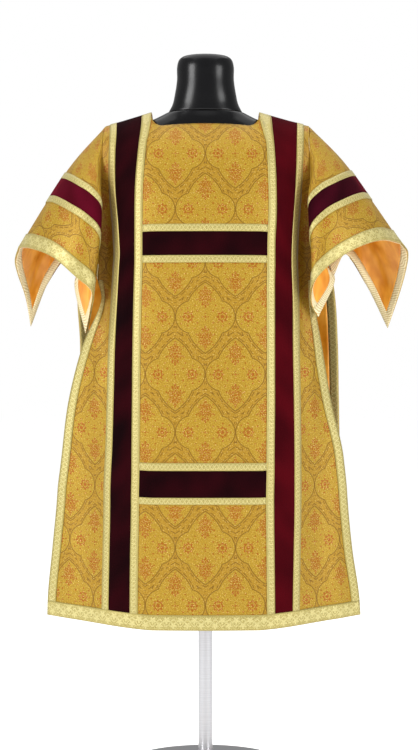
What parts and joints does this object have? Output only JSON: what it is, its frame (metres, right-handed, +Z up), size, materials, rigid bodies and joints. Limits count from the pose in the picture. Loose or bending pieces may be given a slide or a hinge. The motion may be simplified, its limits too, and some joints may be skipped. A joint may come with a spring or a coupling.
{
  "type": "dalmatic on a dress form",
  "caption": "Gold brocade dalmatic with velvet bands and galloon trim, open sleeves and side slits, worn on a limbless dress form with a pole and round base.",
  "frame": {"origin": "centre of the base's underside, on the floor", "axes": "+Z up, +X to the viewer's right of the front, the garment's front faces -Y"},
  "size_m": [0.9067, 0.407, 1.607],
  "materials": {
    "brocade": "gold damask brocade with a soft metallic sheen",
    "satin_lining": "orange gold satin",
    "velvet": "burgundy velvet pile",
    "galloon": "pale gold woven metallic galloon",
    "form_gloss": "gloss black",
    "stand_metal": "satin"
  },
  "bodies": {
    "root": {"back_clavus_left": "velvet", "back_clavus_left_inner_galloon": "galloon", "back_clavus_left_outer_galloon": "galloon", "back_clavus_right": "velvet", "back_clavus_right_inner_galloon": "galloon", "back_clavus_right_outer_galloon": "galloon", "back_hem_galloon": "galloon", "back_lining": "satin_lining", "back_lower_band": "velvet", "back_lower_band_bottom_galloon": "galloon", "back_lower_band_top_galloon": "galloon", "back_panel": "brocade", "back_side_galloon_left": "galloon", "back_side_galloon_right": "galloon", "back_turned_galloon_left": "galloon", "back_turned_galloon_right": "galloon", "back_upper_band": "velvet", "back_upper_band_bottom_galloon": "galloon", "back_upper_band_top_galloon": "galloon", "base": "stand_metal", "cuff_galloon_left": "galloon", "cuff_galloon_right": "galloon", "form_neck": "form_gloss", "form_torso": "form_gloss", "front_clavus_left": "velvet", "front_clavus_left_inner_galloon": "galloon", "front_clavus_left_outer_galloon": "galloon", "front_clavus_right": "velvet", "front_clavus_right_inner_galloon": "galloon", "front_clavus_right_outer_galloon": "galloon", "front_hem_galloon": "galloon", "front_lower_band": "velvet", "front_lower_band_bottom_galloon": "galloon", "front_lower_band_top_galloon": "galloon", "front_panel": "brocade", "front_side_galloon_left": "galloon", "front_side_galloon_right": "galloon", "front_upper_band": "velvet", "front_upper_band_bottom_galloon": "galloon", "front_upper_band_top_galloon": "galloon", "pole": "stand_metal", "pole_socket": "stand_metal", "sleeve_left": "brocade", "sleeve_left_band": "velvet", "sleeve_left_band_lower_galloon": "galloon", "sleeve_left_band_upper_galloon": "galloon", "sleeve_left_lining": "satin_lining", "sleeve_left_turned_galloon": "galloon", "sleeve_right": "brocade", "sleeve_right_band": "velvet", "sleeve_right_band_lower_galloon": "galloon", "sleeve_right_band_upper_galloon": "galloon", "sleeve_right_lining": "satin_lining", "sleeve_right_turned_galloon": "galloon"}
  },
  "joints": []
}
